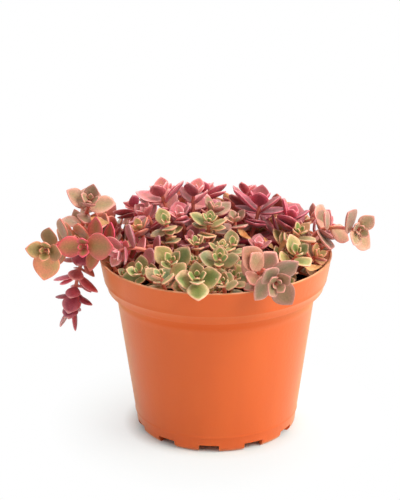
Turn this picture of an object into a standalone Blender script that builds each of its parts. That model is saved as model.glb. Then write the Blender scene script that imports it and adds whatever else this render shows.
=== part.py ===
"""Potted trailing crassula: a thin plastic nursery pot, its soil, and rooted shoots with paired leaves.

Every solid is closed and faces outwards. The pot stands on its foot ring at Z = 0. The origin is under the
middle of the whole plant's spread, so the pot's own axis stands a little to the side of it.
"""

import math

import bmesh
import bpy
from mathutils import Matrix, Vector
from mathutils.bvhtree import BVHTree

MM = 0.001

# Driving dimensions, in millimetres, about the pot's own axis.
POT_AXIS = (7.4, -3.3, 0.0)
RIM_RADIUS = 60.4
POT_HEIGHT = 95.0
BAND_MIDDLE_RADIUS = 58.3
BAND_MIDDLE_HEIGHT = 83.0
BAND_FOOT_RADIUS = 55.8
BAND_FOOT_HEIGHT = 75.0
BODY_TOP_RADIUS = 50.9
BODY_TOP_HEIGHT = 66.6
SKIRT_RADIUS = 43.1
SKIRT_HEIGHT = 8.7
HEEL_RADIUS = 42.0
HEEL_HEIGHT = 2.2
FOOT_RADIUS = 40.2
FOOT_WIDTH = 1.8
FOOT_HEIGHT = 5.2
FLOOR_THICKNESS = 1.4
WALL = 1.2
ROUNDING = 0.6
FLOOR_FILLET = 4.0
NOTCH_COUNT = 11
NOTCH_WIDTH = 10.4
NOTCH_HEIGHT = 4.0
NOTCH_TURN = -5.4
DRAIN_COUNT = 6
DRAIN_RADIUS = 3.6
DRAIN_CIRCLE = 24.0
POT_SEGMENTS = 48
GAP = 0.3
SOIL_EDGE = 81.0
SOIL_LEVEL = 83.0
SOIL_SEGMENTS = 24
SOIL_LUMP = 1.3

STEM_RADIUS = 1.15
STEM_STEP = 10.0
BARE_FOOT = 7.0
NODE_LENGTH = 1.7
NODE_SPACE = 1.8
BUD_LENGTH = 2.4
BUD_TAPER = 0.35
LEAF_WIDTH = 0.88
LEAF_THICKNESS = 1.5
LEAF_CURL = 26.0
LEAF_STRAIGHT = 0.3
FIRST_NODE = 1.0
CLEARANCE = 0.6
# How a shoot carries its leaf pairs. A pair: its way down from the tip and its length (both against the
# shoot's leaf length), and how far its leaves lean away from the stem, in degrees.
ROSETTE = ((0.04, 0.62, 42), (0.24, 0.92, 64), (0.58, 1.00, 76), (1.08, 1.02, 84), (1.70, 0.96, 90),
           (2.45, 0.88, 92), (3.25, 0.80, 92))
PAIRED = ((0.04, 1.00, 80), (0.62, 0.80, 86), (1.40, 0.90, 90), (2.30, 0.85, 92))
REACHING = ((0.04, 0.66, 60), (0.34, 1.00, 80), (1.50, 1.04, 88), (2.35, 0.95, 90), (3.20, 0.85, 92))
HANGING = ((0.04, 0.95, 22), (0.80, 1.00, 50), (1.60, 1.05, 68), (2.60, 0.95, 80), (3.50, 0.85, 88))
# Sizes that a leaf tries in turn where its neighbours leave it little room, with a further lean in degrees.
ROOM_STEPS = ((1.0, 0), (0.94, 8), (0.94, -8), (0.84, 0), (0.84, 15), (0.84, -15), (0.7, 0), (0.7, 20),
              (0.6, 0), (0.6, -20))
# A leaf's outline: share of its length, width and thickness there, against the fullest.
LEAF_OUTLINE = ((0.16, 0.66, 1.0), (0.46, 1.00, 1.0), (0.78, 0.68, 0.9), (1.0, 0.08, 0.5))

# Shoots, in millimetres: name, points that the stem passes through from its root to its tip,
# the way that the tip faces, turn of the last pair in degrees, leaf length.
SHOOTS = (
    ("shoot_left_reaching", ((-32, 4), (-57, 3, 101), (-68, -8, 104), (-80, -16, 106), (-85, -30, 107)),
     (-0.15, -0.96, 0.25), -7, 16, REACHING),
    ("shoot_left_pair", ((-37, -9), (-56, -15, 103), (-66, -27, 108)),
     (-0.10, -0.97, 0.20), 4, 16.5, PAIRED),
    ("shoot_left_high", ((-37, 13), (-59, 9, 101), (-69, 4, 106), (-64, -6, 125)),
     (0.10, -0.61, 0.79), 73, 15.5, ROSETTE),
    ("shoot_left_hanging", ((-42, -4), (-62, -6, 101), (-70, -7, 89), (-75, -9, 65)),
     (-0.26, -0.22, -0.94), 141, 12, HANGING),
    ("shoot_left_middle", ((-24, -16), (-34, -22, 103), (-49, -31, 106)),
     (-0.67, -0.70, -0.24), 80, 14, ROSETTE),
    ("shoot_left_inner", ((-20, -9), (-25, -15, 117)), (-0.10, -0.49, 0.87), 32, 10.5, ROSETTE),
    ("shoot_front_left", ((-15, -27), (-22, -41, 105)), (0.05, -0.62, 0.78), 39, 12.5, ROSETTE),
    ("shoot_front_rim_left", ((-30, -27), (-38, -39, 99)), (-0.25, -0.50, 0.83), 15, 12, ROSETTE),
    ("shoot_front_middle", ((-7, -36), (-9, -56, 102)), (0.00, -0.56, 0.83), 93, 14.5, ROSETTE),
    ("shoot_front_small", ((-8, -24), (-11, -32, 102)), (-0.15, -0.28, 0.95), 68, 9, ROSETTE),
    ("shoot_front_right", ((3, -26), (2, -38, 105)), (0.10, -0.61, 0.79), 78, 12, ROSETTE),
    ("shoot_over_rim", ((18, -33), (23, -49, 103), (29.5, -65, 102)), (0.06, -0.92, 0.38), 38, 15, ROSETTE),
    ("shoot_rim_low", ((7, -40), (10, -47, 99)), (0.20, -0.48, 0.85), 15, 8.5, ROSETTE),
    ("shoot_middle_olive", ((-4, -6), (-3, -10, 116)), (0.10, -0.29, 0.95), 84, 12, ROSETTE),
    ("shoot_middle_dark", ((-11, -11), (-13, -13, 107)), (-0.30, -0.33, 0.89), 24, 11, ROSETTE),
    ("shoot_middle_green", ((5, -14), (9, -22, 107)), (0.00, -0.39, 0.92), 10, 10.5, ROSETTE),
    ("shoot_middle_red", ((16, -10), (22, -15, 104)), (0.05, -0.02, 1.00), -1, 12.5, ROSETTE),
    ("shoot_top_left", ((-20, 7), (-28, 8, 125)), (-0.30, 0.06, 0.95), 76, 16, ROSETTE),
    ("shoot_top", ((-9, 6), (-11, 8, 125)), (0.12, 0.04, 0.99), 66, 16, ROSETTE),
    ("shoot_top_front", ((-2, 3), (-1, 2, 118)), (0.36, 0.01, 0.93), 40, 14, ROSETTE),
    ("shoot_top_far_left", ((-27, 3), (-36, 3, 116)), (-0.46, -0.09, 0.89), 29, 14, ROSETTE),
    ("shoot_upper_left", ((-13, -3), (-18, -4, 117)), (-0.20, -0.24, 0.95), 49, 12.5, ROSETTE),
    ("shoot_upper_edge", ((-29, -8), (-39, -9, 112)), (-0.30, -0.18, 0.94), 65, 12.5, ROSETTE),
    ("shoot_right_high", ((15, 3), (23, 4, 121)), (0.06, 0.02, 1.00), 84, 17.5, ROSETTE),
    ("shoot_right_crown", ((25, 3), (39, 3, 113)), (0.34, 0.04, 0.94), 72, 18, ROSETTE),
    ("shoot_right_middle", ((8, -3), (10, -3, 114)), (-0.10, -0.28, 0.95), 25, 12.5, ROSETTE),
    ("shoot_right_behind", ((31, 11), (45, 14, 108)), (0.36, 0.22, 0.91), 43, 12.5, ROSETTE),
    ("shoot_right_reaching", ((38, -3), (51, -2, 104), (60, -6, 110), (73, -16, 112)),
     (0.12, -0.92, 0.37), 49, 15.5, REACHING),
    ("shoot_right_inner", ((29, -9), (43, -14, 111)), (0.25, -0.34, 0.91), 11, 12, ROSETTE),
    ("shoot_right_rim", ((39, -15), (52, -19, 100)), (0.56, -0.32, 0.76), 61, 12.5, ROSETTE),
    ("shoot_right_front", ((29, -20), (41, -29, 105)), (-0.10, -0.55, 0.83), 37, 12, ROSETTE),
    ("shoot_back_left_low", ((-38, 21), (-59, 33, 102)), (-0.76, 0.46, 0.46), 15, 14, ROSETTE),
    ("shoot_back_left", ((-28, 17), (-43, 26, 112)), (-0.50, 0.35, 0.80), 60, 14, ROSETTE),
    ("shoot_back_left_inner", ((-18, 18), (-26, 27, 119)), (-0.30, 0.35, 0.89), 30, 13.5, ROSETTE),
    ("shoot_back_rim_left", ((-27, 32), (-41, 49, 100)), (-0.54, 0.64, 0.54), 45, 13, ROSETTE),
    ("shoot_back_centre_left", ((-14, 27), (-21, 41, 110)), (-0.25, 0.55, 0.80), 10, 13.5, ROSETTE),
    ("shoot_back_centre", ((-5, 22), (-5, 33, 118)), (0.00, 0.40, 0.92), 70, 14, ROSETTE),
    ("shoot_back_trailing", ((-8, 40), (-12, 58, 101), (-15, 70, 83)),
     (-0.15, 0.59, -0.79), 20, 13, HANGING),
    ("shoot_back_rim", ((6, 36), (9, 54, 103)), (0.10, 0.80, 0.60), 50, 13.5, ROSETTE),
    ("shoot_back_centre_right", ((11, 24), (17, 37, 112)), (0.25, 0.50, 0.83), 25, 14, ROSETTE),
    ("shoot_back_right_inner", ((12, 17), (17, 28, 119)), (0.15, 0.30, 0.94), 80, 13.5, ROSETTE),
    ("shoot_back_right", ((25, 21), (37, 31, 108)), (0.50, 0.45, 0.74), 5, 14, ROSETTE),
    ("shoot_back_rim_right", ((24, 34), (36, 51, 100)), (0.45, 0.70, 0.55), 65, 13, ROSETTE),
    ("shoot_right_far", ((38, 12), (60, 22, 102)), (0.81, 0.30, 0.51), 30, 13.5, ROSETTE),
    ("shoot_back_right_low", ((36, 24), (53, 38, 101)), (0.66, 0.56, 0.51), 80, 13, ROSETTE),
)

COLOURS = {
    "terracotta_plastic": ((0.60, 0.13, 0.035, 1.0), 0.42),
    "potting_soil": ((0.022, 0.017, 0.012, 1.0), 0.95),
    "leaf_and_stem": ((0.42, 0.16, 0.14, 1.0), 0.45),
}


def clear_scene():
    """Empty the scene of whatever it opened with."""
    for thing in list(bpy.data.objects):
        bpy.data.objects.remove(thing, do_unlink=True)


def stand():
    """The empty on the pot's axis that every piece hangs on."""
    made = bpy.data.objects.get("pot_axis")
    if made is None:
        made = bpy.data.objects.new("pot_axis", None)
        made.location = Vector(POT_AXIS) * MM
        bpy.context.scene.collection.objects.link(made)
    return made


def material(name):
    """One plain finish for a kind of piece."""
    colour, roughness = COLOURS[name]
    made = bpy.data.materials.get(name) or bpy.data.materials.new(name)
    made.use_nodes = True
    shader = made.node_tree.nodes["Principled BSDF"]
    shader.inputs["Base Color"].default_value = colour
    shader.inputs["Roughness"].default_value = roughness
    return made


def add_object(name, bm, finish, smooth_angle=40.0):
    """Turn a finished bmesh into a named object in metres."""
    bmesh.ops.scale(bm, vec=(MM, MM, MM), verts=bm.verts)
    bmesh.ops.recalc_face_normals(bm, faces=bm.faces)
    mesh = bpy.data.meshes.new(name)
    bm.to_mesh(mesh)
    bm.free()
    mesh.shade_smooth()
    mesh.set_sharp_from_angle(angle=math.radians(smooth_angle))
    mesh.materials.append(material(finish))
    made = bpy.data.objects.new(name, mesh)
    made.parent = stand()
    bpy.context.scene.collection.objects.link(made)
    return made


# ---------------------------------------------------------------- pot

def quarter_round(low, high, steps=4):
    """Points (radius, height) on a quarter ellipse from a flat floor up to an upright wall."""
    points = []
    for step in range(steps + 1):
        turn = math.pi / 2 * step / steps
        points.append((low[0] + (high[0] - low[0]) * math.sin(turn),
                       high[1] - (high[1] - low[1]) * math.cos(turn)))
    return points


def wall_profile():
    """The pot wall's outline as (radius, height): from the floor's middle, out, up, over the lip, back."""
    floor_top = FOOT_HEIGHT + FLOOR_THICKNESS
    foot = [(0.0, FOOT_HEIGHT), (FOOT_RADIUS - FOOT_WIDTH, FOOT_HEIGHT), (FOOT_RADIUS - FOOT_WIDTH, 0.0),
            (FOOT_RADIUS, 0.0), (HEEL_RADIUS, HEEL_HEIGHT)]
    body = [(SKIRT_RADIUS - GAP, SKIRT_HEIGHT - GAP), (SKIRT_RADIUS, SKIRT_HEIGHT),
            (BODY_TOP_RADIUS, BODY_TOP_HEIGHT), (BODY_TOP_RADIUS + ROUNDING, BODY_TOP_HEIGHT + ROUNDING),
            (BAND_FOOT_RADIUS - ROUNDING, BAND_FOOT_HEIGHT - 2 * ROUNDING),
            (BAND_FOOT_RADIUS, BAND_FOOT_HEIGHT), (BAND_MIDDLE_RADIUS, BAND_MIDDLE_HEIGHT)]
    lip = [(RIM_RADIUS - ROUNDING / 2, POT_HEIGHT - 2 * ROUNDING), (RIM_RADIUS, POT_HEIGHT - ROUNDING),
           (RIM_RADIUS - ROUNDING / 2, POT_HEIGHT), (RIM_RADIUS - WALL, POT_HEIGHT),
           (RIM_RADIUS - WALL - ROUNDING / 2, POT_HEIGHT - ROUNDING)]
    lining = [(BAND_MIDDLE_RADIUS - WALL, BAND_MIDDLE_HEIGHT), (BAND_FOOT_RADIUS - WALL, BAND_FOOT_HEIGHT),
              (BODY_TOP_RADIUS - WALL, BODY_TOP_HEIGHT)]
    fillet = quarter_round((SKIRT_RADIUS - WALL - FLOOR_FILLET, floor_top),
                           (SKIRT_RADIUS - WALL, floor_top + FLOOR_FILLET))
    return foot + body + lip + lining + list(reversed(fillet)) + [(0.0, floor_top)]


def lathe(profile, segments):
    """Turn an outline of (radius, height) points about Z into a closed solid."""
    bm = bmesh.new()
    verts = [bm.verts.new((radius, 0.0, height)) for radius, height in profile]
    edges = [bm.edges.new(pair) for pair in zip(verts, verts[1:])]
    bmesh.ops.spin(bm, geom=verts + edges, cent=(0, 0, 0), axis=(0, 0, 1), angle=math.tau,
                   steps=segments, use_merge=True)
    bmesh.ops.remove_doubles(bm, verts=bm.verts, dist=0.001)
    return bm


def pot_cutter():
    """Blocks for the notches in the foot ring and pegs for the drain holes, as one hidden cutter."""
    bm = bmesh.new()
    for step in range(NOTCH_COUNT):
        turn = math.radians(NOTCH_TURN - 90.0 + step * 360.0 / NOTCH_COUNT)
        place = (Matrix.Rotation(turn, 4, "Z") @ Matrix.Translation((FOOT_RADIUS - FOOT_WIDTH / 2, 0, 0))
                 @ Matrix.Diagonal((4 * FOOT_WIDTH, NOTCH_WIDTH, 2 * NOTCH_HEIGHT, 1)))
        bmesh.ops.create_cube(bm, size=1.0, matrix=place)
    for step in range(DRAIN_COUNT):
        turn = math.tau * step / DRAIN_COUNT
        centre = (DRAIN_CIRCLE * math.cos(turn), DRAIN_CIRCLE * math.sin(turn), FOOT_HEIGHT)
        bmesh.ops.create_cone(bm, cap_ends=True, segments=12, radius1=DRAIN_RADIUS, radius2=DRAIN_RADIUS,
                              depth=2 * (FOOT_HEIGHT + FLOOR_THICKNESS), matrix=Matrix.Translation(centre))
    made = add_object("pot_cutter", bm, "terracotta_plastic")
    made.hide_render = True
    made.display_type = "WIRE"
    return made


def build_pot():
    """The pot: a turned thin wall with a flared band, a lip, and a notched foot ring."""
    pot = add_object("pot", lathe(wall_profile(), POT_SEGMENTS), "terracotta_plastic", 28.0)
    cut = pot.modifiers.new("notches_and_drains", "BOOLEAN")
    cut.operation = "DIFFERENCE"
    cut.solver = "EXACT"
    cut.object = pot_cutter()
    return pot


# ---------------------------------------------------------------- soil

def soil_lump(x, y):
    """Height of the soil's surface over its mean level."""
    return SOIL_LUMP * (0.55 * math.sin(0.19 * x + 0.6) * math.cos(0.16 * y - 0.4)
                        + 0.45 * math.sin(0.11 * x - 0.27 * y + 1.9))


def soil_radius(height):
    """Radius of the soil where it fills the pot."""
    wall = ((SKIRT_HEIGHT, SKIRT_RADIUS), (BODY_TOP_HEIGHT, BODY_TOP_RADIUS),
            (BAND_FOOT_HEIGHT, BAND_FOOT_RADIUS), (BAND_MIDDLE_HEIGHT, BAND_MIDDLE_RADIUS))
    for (low, low_radius), (high, high_radius) in zip(wall, wall[1:]):
        if height <= high:
            break
    return low_radius + (high_radius - low_radius) * (height - low) / (high - low) - WALL - 2 * GAP


def build_soil():
    """The root ball: potting soil that fills the pot, with a lumpy top."""
    bottom = FOOT_HEIGHT + FLOOR_THICKNESS + GAP
    profile = [(0.0, bottom), (SKIRT_RADIUS - WALL - FLOOR_FILLET - 2 * GAP, bottom)]
    for height in (bottom + FLOOR_FILLET, BODY_TOP_HEIGHT, BAND_FOOT_HEIGHT, SOIL_EDGE):
        profile.append((soil_radius(height), height))
    for share in (0.82, 0.60, 0.38, 0.18, 0.0):
        profile.append((soil_radius(SOIL_EDGE) * share, SOIL_LEVEL))
    bm = lathe(profile, SOIL_SEGMENTS)
    for vert in bm.verts:
        if vert.co.z > SOIL_EDGE + GAP:
            vert.co.z += soil_lump(vert.co.x, vert.co.y)
    bmesh.ops.triangulate(bm, faces=bm.faces)
    return add_object("soil", bm, "potting_soil", 60.0)


# ---------------------------------------------------------------- shoots

def smooth_route(points, facing, steps=64):
    """A smooth way through the points, upright at its root and along the facing at its tip."""
    tangents = [(points[1] - points[0]).length * Vector((0, 0, 1.0))]
    for before, after in zip(points, points[2:]):
        tangents.append((after - before) * 0.5)
    tangents.append((points[-1] - points[-2]).length * facing)
    route = []
    for index in range(len(points) - 1):
        for step in range(steps):
            t = step / steps
            route.append(points[index] * (2 * t ** 3 - 3 * t ** 2 + 1)
                         + tangents[index] * (t ** 3 - 2 * t ** 2 + t)
                         + points[index + 1] * (3 * t ** 2 - 2 * t ** 3)
                         + tangents[index + 1] * (t ** 3 - t ** 2))
    route.append(points[-1].copy())
    return route


class Stem:
    """A stem's route with a frame at any distance from its tip."""

    def __init__(self, points, facing, turn):
        self.points = smooth_route(points, facing)
        self.points.reverse()
        self.reach = [0.0]
        for before, after in zip(self.points, self.points[1:]):
            self.reach.append(self.reach[-1] + (after - before).length)
        side = facing.cross(Vector((0, 0, 1))) if abs(facing.z) < 0.95 else facing.cross(Vector((0, 1, 0)))
        side = Matrix.Rotation(math.radians(turn), 3, facing) @ side
        self.frames = []
        for index in range(len(self.points)):
            before = self.points[max(index - 1, 0)]
            after = self.points[min(index + 1, len(self.points) - 1)]
            axis = (before - after).normalized()
            side = (side - axis * side.dot(axis)).normalized()
            self.frames.append((axis, side))

    def length(self):
        """The stem's length along its route."""
        return self.reach[-1]

    def at(self, distance):
        """The place, axis and side way at a distance down from the tip."""
        index = 0
        while index < len(self.reach) - 2 and self.reach[index + 1] < distance:
            index += 1
        share = (distance - self.reach[index]) / (self.reach[index + 1] - self.reach[index])
        place = self.points[index].lerp(self.points[index + 1], share)
        axis, side = self.frames[index]
        return place, axis, side

    def leaf_ways(self, distance, way):
        """The place, axis, outward way and crosswise way of a leaf: ways 0 to 3 go round the stem."""
        place, axis, side = self.at(distance)
        across = axis.cross(side)
        out = (side, across, -side, -across)[way]
        return place, axis, out, axis.cross(out)


def leaf_sections(stem, distance, way, length, lean):
    """A leaf's cross-sections from its foot out to its tip: (centre, across, up, width, thickness)."""
    place, axis, out, across = stem.leaf_ways(distance, way)
    sections = []
    centre = place + out * STEM_RADIUS
    reach = 0.0
    for share, width, thickness in LEAF_OUTLINE:
        bend = math.radians(lean - LEAF_CURL * (share - LEAF_STRAIGHT))
        heading = out * math.sin(bend) + axis * math.cos(bend)
        centre = centre + heading * length * (share - reach)
        reach = share
        up = heading.cross(across)
        sections.append((centre, across, up, width * length * LEAF_WIDTH, thickness * LEAF_THICKNESS))
    return sections


def section_corners(section, spare=0.0):
    """The four corners of a cross-section, in order round it."""
    centre, across, up, width, thickness = section
    half = (width + spare) / 2
    deep = (thickness + spare) / 2
    return [centre + across * half * a + up * deep * b for a, b in ((-1, -1), (1, -1), (1, 1), (-1, 1))]


def foot_corners(stem, distance, way):
    """The corners of a leaf's foot, where it leaves the stem."""
    place, axis, out, across = stem.leaf_ways(distance, way)
    return section_corners((place + out * STEM_RADIUS, across, axis, 2 * STEM_RADIUS, NODE_LENGTH))


def shell_tree(rings):
    """A search tree of the tube that joins four-cornered rings, closed at both ends."""
    verts = [corner for ring in rings for corner in ring]
    faces = [(0, 1, 2, 3)]
    for index in range(len(rings) - 1):
        low = index * 4
        for a in range(4):
            b = (a + 1) % 4
            faces.append((low + a, low + b, low + 4 + b, low + 4 + a))
    last = len(verts) - 4
    faces.append((last, last + 1, last + 2, last + 3))
    return BVHTree.FromPolygons(verts, faces)


def stem_rings(stem, distances, spare=0.0):
    """Four-cornered rings round a stem; each side face looks along one of the leaf ways."""
    rings = []
    half = STEM_RADIUS + spare
    for distance in distances:
        place, axis, side = stem.at(distance)
        across = axis.cross(side)
        corners = ((1, -1), (1, 1), (-1, 1), (-1, -1))
        rings.append([place + (side * a + across * b) * half for a, b in corners])
    return rings


def node_places(stem, leaf_length, habit):
    """Each leaf pair on a stem that has room for it: distance down from the tip, length and lean."""
    places = []
    distance = 0.0
    for share, size, lean in habit:
        distance = max(share * leaf_length + FIRST_NODE, distance + NODE_SPACE)
        if distance < stem.length() - BARE_FOOT:
            places.append((distance, size * leaf_length, lean))
    return places


def stem_stations(stem, places):
    """Distances of a stem's rings from its tip to its root: two at each node, the rest evenly between."""
    marks = [0.0]
    for distance, _, _ in places:
        marks += [distance - NODE_LENGTH / 2, distance + NODE_LENGTH / 2]
    marks.append(stem.length())
    stations = [0.0]
    for before, after in zip(marks, marks[1:]):
        steps = math.ceil((after - before) / STEM_STEP)
        stations += [before + (after - before) * step / steps for step in range(1, steps + 1)]
    return stations


def extrude_face(bm, face, corners_of):
    """Extrude one face; corners_of gives each new corner's place from its old one."""
    fresh = bmesh.ops.extrude_discrete_faces(bm, faces=[face])["faces"][0]
    for vert in fresh.verts:
        vert.co = corners_of(vert.co)
    return fresh


def grow_leaf(bm, face, stem, distance, way, sections):
    """Draw a leaf out of a side face of the stem."""
    centre, up, _, across = stem.leaf_ways(distance, way)
    for section in sections:
        def corner(old, centre=centre, across=across, up=up, section=section):
            a = 1 if (old - centre).dot(across) > 0 else -1
            b = 1 if (old - centre).dot(up) > 0 else -1
            return section[0] + section[1] * a * section[3] / 2 + section[2] * b * section[4] / 2
        face = extrude_face(bm, face, corner)
        centre, across, up = section[:3]


def build_shoot(name, stem, places, leaves):
    """One rooted shoot: its stem and the leaves that grow out of it, as one solid."""
    bm = bmesh.new()
    stations = stem_stations(stem, places)
    verts = [[bm.verts.new(corner) for corner in ring] for ring in stem_rings(stem, stations)]
    sides = {}
    for index in range(len(verts) - 1):
        low, high = verts[index], verts[index + 1]
        for way in range(4):
            after = (way + 1) % 4
            sides[(index, way)] = bm.faces.new((low[way], low[after], high[after], high[way]))
    crown = bm.faces.new(verts[0])
    bm.faces.new(list(reversed(verts[-1])))
    bmesh.ops.recalc_face_normals(bm, faces=bm.faces)
    tip, axis, _ = stem.at(0.0)
    extrude_face(bm, crown, lambda old: tip + (old - tip) * BUD_TAPER + axis * BUD_LENGTH)
    for distance, way, sections in leaves:
        index = max(i for i, station in enumerate(stations) if station < distance)
        grow_leaf(bm, sides[(index, way)], stem, distance, way, sections)
    bmesh.ops.triangulate(bm, faces=bm.faces)
    return add_object(name, bm, "leaf_and_stem", 50.0)


def surface_tree(thing):
    """A search tree of an object's finished surface, in millimetres."""
    depsgraph = bpy.context.evaluated_depsgraph_get()
    mesh = thing.evaluated_get(depsgraph).to_mesh()
    verts = [vert.co / MM for vert in mesh.vertices]
    return BVHTree.FromPolygons(verts, [tuple(face.vertices) for face in mesh.polygons])


def root_height(soil_tree, x, y):
    """Height at which a stem's foot stands just clear of the soil."""
    tops = []
    foot = STEM_RADIUS * math.sqrt(2)
    for step in range(8):
        turn = math.tau * step / 8
        start = Vector((x + foot * math.cos(turn), y + foot * math.sin(turn), 2 * POT_HEIGHT))
        tops.append(soil_tree.ray_cast(start, Vector((0, 0, -1)))[0].z)
    return max(tops) + GAP


def lay_stems(soil_tree):
    """Every stem with its node places and the search tree of its tube."""
    stems = []
    for name, points, facing, turn, leaf_length, habit in SHOOTS:
        x, y = points[0]
        route = [Vector((x, y, root_height(soil_tree, x, y)))] + [Vector(point) for point in points[1:]]
        stem = Stem(route, Vector(facing).normalized(), turn)
        places = node_places(stem, leaf_length, habit)
        tube = shell_tree(stem_rings(stem, stem_stations(stem, places), CLEARANCE / 2))
        stems.append((name, stem, places, tube))
    return stems


def fit_leaf(stem, tube, taken, distance, way, size, lean):
    """The largest leaf that has room at one place: its sections and search tree, or nothing."""
    for share, more_lean in ROOM_STEPS:
        sections = leaf_sections(stem, distance, way, size * share, lean + more_lean)
        rings = [section_corners(section, CLEARANCE) for section in sections]
        blade = shell_tree(rings)
        whole = shell_tree([foot_corners(stem, distance, way)] + rings)
        if not any(other.overlap(blade if other is tube else whole) for other in taken):
            return sections, whole
    return None


def grow_shoots(pot, soil):
    """Lay every stem, give each leaf the room that is left for it, and build the shoots."""
    soil_tree = surface_tree(soil)
    stems = lay_stems(soil_tree)
    taken = [surface_tree(pot), soil_tree] + [tube for *_, tube in stems]
    leaves = {name: [] for name, *_ in stems}
    for rank in range(max(len(places) for _, _, places, _ in stems)):
        for name, stem, places, tube in stems:
            if rank < len(places):
                distance, size, lean = places[rank]
                for way in (0, 2) if rank % 2 == 0 else (1, 3):
                    fitted = fit_leaf(stem, tube, taken, distance, way, size, lean)
                    if fitted:
                        leaves[name].append((distance, way, fitted[0]))
                        taken.append(fitted[1])
    for name, stem, places, _ in stems:
        build_shoot(name, stem, places, leaves[name])


clear_scene()
pot_wall = build_pot()
root_ball = build_soil()
bpy.context.view_layer.update()
grow_shoots(pot_wall, root_ball)
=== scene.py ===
import math
import random

import bmesh
import bpy
from mathutils import Matrix, Vector, kdtree, noise


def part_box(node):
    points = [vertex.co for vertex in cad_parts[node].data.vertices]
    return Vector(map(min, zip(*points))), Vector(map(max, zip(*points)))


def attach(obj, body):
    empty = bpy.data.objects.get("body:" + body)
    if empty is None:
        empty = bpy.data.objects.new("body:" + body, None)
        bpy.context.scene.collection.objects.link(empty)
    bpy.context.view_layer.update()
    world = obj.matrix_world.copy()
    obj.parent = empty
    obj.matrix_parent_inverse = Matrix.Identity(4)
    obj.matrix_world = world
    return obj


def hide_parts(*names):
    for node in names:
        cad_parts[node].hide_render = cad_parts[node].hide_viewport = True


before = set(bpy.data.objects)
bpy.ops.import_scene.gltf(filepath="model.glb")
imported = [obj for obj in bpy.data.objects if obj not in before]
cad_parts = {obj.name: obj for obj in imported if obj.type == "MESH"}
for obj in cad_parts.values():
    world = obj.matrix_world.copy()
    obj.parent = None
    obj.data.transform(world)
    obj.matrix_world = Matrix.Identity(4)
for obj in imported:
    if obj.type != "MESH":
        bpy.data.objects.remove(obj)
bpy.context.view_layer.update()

# ---------------------------------------------------------------- pot
# A thin nursery pot, injection moulded in one shot of terracotta-coloured plastic. A flared band
# stiffens the rim, a faint bead marks the foot of the band, and the pot stands on a notched ring.

MM = 0.001
pot_low, pot_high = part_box("pot")
pot_axis = Vector(((pot_low.x + pot_high.x) / 2, (pot_low.y + pot_high.y) / 2, 0.0))
rim = (pot_high.x - pot_low.x) / 2 / MM
top = pot_high.z / MM
wall = 1.2
band_bead = (57.9, 82.0)
band_middle = (58.5, 84.6)
band_foot = (56.3, 77.6)
body_top = (51.35, 70.6)
skirt = (43.1, 8.7)
heel = (42.0, 2.2)
foot_radius = 40.2
foot_width = 1.8
foot_height = 5.2
floor_top = 6.6
fillet = 4.0
notch_turn = -5.4
notches = 11
notch_width = 10.4
notch_height = 4.0
drains = 6
drain_radius = 3.6
drain_circle = 24.0
pot_sides = 160


def paint(red, green, blue):
    """A paint's colour from its screen values, 0 to 255."""
    return tuple(((c / 255 + 0.055) / 1.055) ** 2.4 for c in (red, green, blue)) + (1.0,)


def finish(name):
    """An empty finish with one shader; returns it and the shader."""
    made = bpy.data.materials.new(name)
    made.use_nodes = True
    return made, made.node_tree.nodes["Principled BSDF"]


def add(made, kind, inputs=(), **settings):
    """Add a shader node; inputs holds (socket, value or the socket it is fed from)."""
    part = made.node_tree.nodes.new("ShaderNode" + kind)
    for key, value in settings.items():
        setattr(part, key, value)
    for key, value in inputs:
        if isinstance(value, bpy.types.NodeSocket):
            made.node_tree.links.new(value, part.inputs[key])
        else:
            part.inputs[key].default_value = value
    return part


def mix(made, share, first, second, blend="MIX"):
    """Mix two colours; returns the colour socket."""
    inputs = ((0, share), (6, first), (7, second))
    return add(made, "Mix", inputs, data_type="RGBA", blend_type=blend).outputs[2]


def spread(made, value, low, high, to_low=0.0, to_high=1.0):
    """Stretch a value from one range to another, held at both ends; returns its socket."""
    inputs = (("Value", value), (1, low), (2, high), (3, to_low), (4, to_high))
    return add(made, "MapRange", inputs).outputs[0]


def grain(made, scale, detail=2.0, stretch=None):
    """Noise on the piece's own coordinates, in metres; returns its value's socket."""
    coords = add(made, "TexCoord").outputs["Object"]
    if stretch:
        coords = add(made, "Mapping", ((0, coords), ("Scale", stretch))).outputs[0]
    return add(made, "TexNoise", (("Vector", coords), ("Scale", scale), ("Detail", detail))).outputs["Fac"]


def roughen(made, shader, height, distance, strength=1.0):
    """Raise the surface by a height value; distance is in metres."""
    bump = add(made, "Bump", (("Height", height), ("Distance", distance), ("Strength", strength)))
    made.node_tree.links.new(bump.outputs[0], shader.inputs["Normal"])


def feed(made, shader, socket, value):
    """Feed one of the shader's sockets."""
    made.node_tree.links.new(value, shader.inputs[socket])


def turned(profile, steps):
    """Turn an outline of (radius, height) about the pot's axis into a closed shell."""
    bm = bmesh.new()
    verts = [bm.verts.new((radius, 0.0, height)) for radius, height in profile]
    edges = [bm.edges.new(pair) for pair in zip(verts, verts[1:])]
    bmesh.ops.spin(bm, geom=verts + edges, cent=(0, 0, 0), axis=(0, 0, 1), angle=math.tau, steps=steps,
                   use_merge=True)
    bmesh.ops.remove_doubles(bm, verts=bm.verts, dist=0.001)
    bmesh.ops.recalc_face_normals(bm, faces=bm.faces)
    # Spin leaves the faces in any order; this puts them in the same one each run.
    bm.verts.index_update()
    bm.faces.sort(key=lambda face: sum(vert.index ** 2 for vert in face.verts))
    return bm


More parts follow.
